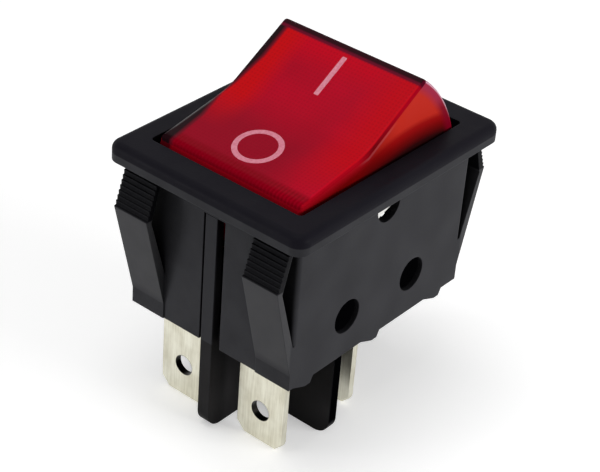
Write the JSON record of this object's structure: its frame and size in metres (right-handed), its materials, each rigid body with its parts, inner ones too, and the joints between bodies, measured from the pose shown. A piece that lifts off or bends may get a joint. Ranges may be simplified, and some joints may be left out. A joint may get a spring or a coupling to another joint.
{
  "type": "panel rocker switch",
  "caption": "Snap-in panel rocker switch with a clear red lit rocker in a black bezel, latch arms, terminal barriers and flat quick-connect tabs",
  "frame": {"origin": "centre of the bezel's underside, which lies on the panel", "axes": "+X towards the I end of the rocker, +Y across the two poles, +Z out of the panel"},
  "size_m": [0.0346, 0.0262, 0.0392],
  "materials": {
    "black_nylon": "satin black nylon, fine mould texture",
    "red_lens": "clear red polycarbonate, polished",
    "white_carrier": "white acetal, satin",
    "plunger_acetal": "natural white acetal",
    "spring_steel": "bright spring wire",
    "lever_copper": "bare copper alloy strip",
    "contact_silver": "silver alloy rivet",
    "tab_tin": "tin plated brass strip",
    "bulb_glass": "clear glass, fire polished",
    "electrode_nickel": "nickel wire",
    "resistor_coat": "beige coating"
  },
  "bodies": {
    "housing_body": {"housing": "black_nylon", "base": "black_nylon", "end_terminal_a": "tab_tin", "end_terminal_b": "tab_tin", "centre_terminal_a": "tab_tin", "centre_terminal_b": "tab_tin", "fixed_contact_a": "contact_silver", "fixed_contact_b": "contact_silver"},
    "rocker": {"rocker_lens": "red_lens", "rocker_carrier": "white_carrier", "lamp_bulb": "bulb_glass", "lamp_electrode_a": "electrode_nickel", "lamp_electrode_b": "electrode_nickel", "lamp_resistor": "resistor_coat", "plunger_spring_a": "spring_steel", "plunger_spring_b": "spring_steel"},
    "plunger_a_body": {"plunger_a": "plunger_acetal"},
    "lever_a": {"contact_lever_a": "lever_copper", "moving_contact_a": "contact_silver"},
    "plunger_b_body": {"plunger_b": "plunger_acetal"},
    "lever_b": {"contact_lever_b": "lever_copper", "moving_contact_b": "contact_silver"}
  },
  "joints": [
    {"name": "rocker_tilt", "type": "hinge", "parent": "housing_body", "child": "rocker", "pos_m": [0, 0, -0.0021], "axis": [0, 1, 0], "range_deg": [0, 40.6]},
    {"name": "plunger_a_slide", "type": "slide", "parent": "rocker", "child": "plunger_a_body", "axis": [-0.3469, 0, 0.9379], "range_m": [0, 0.0012], "stiffness_N_per_m": 400, "springref_m": -0.004, "deforming": ["plunger_spring_a"]},
    {"name": "lever_a_tilt", "type": "hinge", "parent": "housing_body", "child": "lever_a", "pos_m": [0, 0.0056, -0.0126], "axis": [0, -1, 0], "range_deg": [0, 14]},
    {"name": "plunger_b_slide", "type": "slide", "parent": "rocker", "child": "plunger_b_body", "axis": [-0.3469, 0, 0.9379], "range_m": [0, 0.0012], "stiffness_N_per_m": 400, "springref_m": -0.004, "deforming": ["plunger_spring_b"]},
    {"name": "lever_b_tilt", "type": "hinge", "parent": "housing_body", "child": "lever_b", "pos_m": [0, -0.0056, -0.0126], "axis": [0, -1, 0], "range_deg": [0, 14]}
  ],
  "couplings": [
    {"joint": "lever_a_tilt", "follows": "rocker_tilt", "ratio": 0.34483},
    {"joint": "lever_b_tilt", "follows": "rocker_tilt", "ratio": 0.34483}
  ]
}
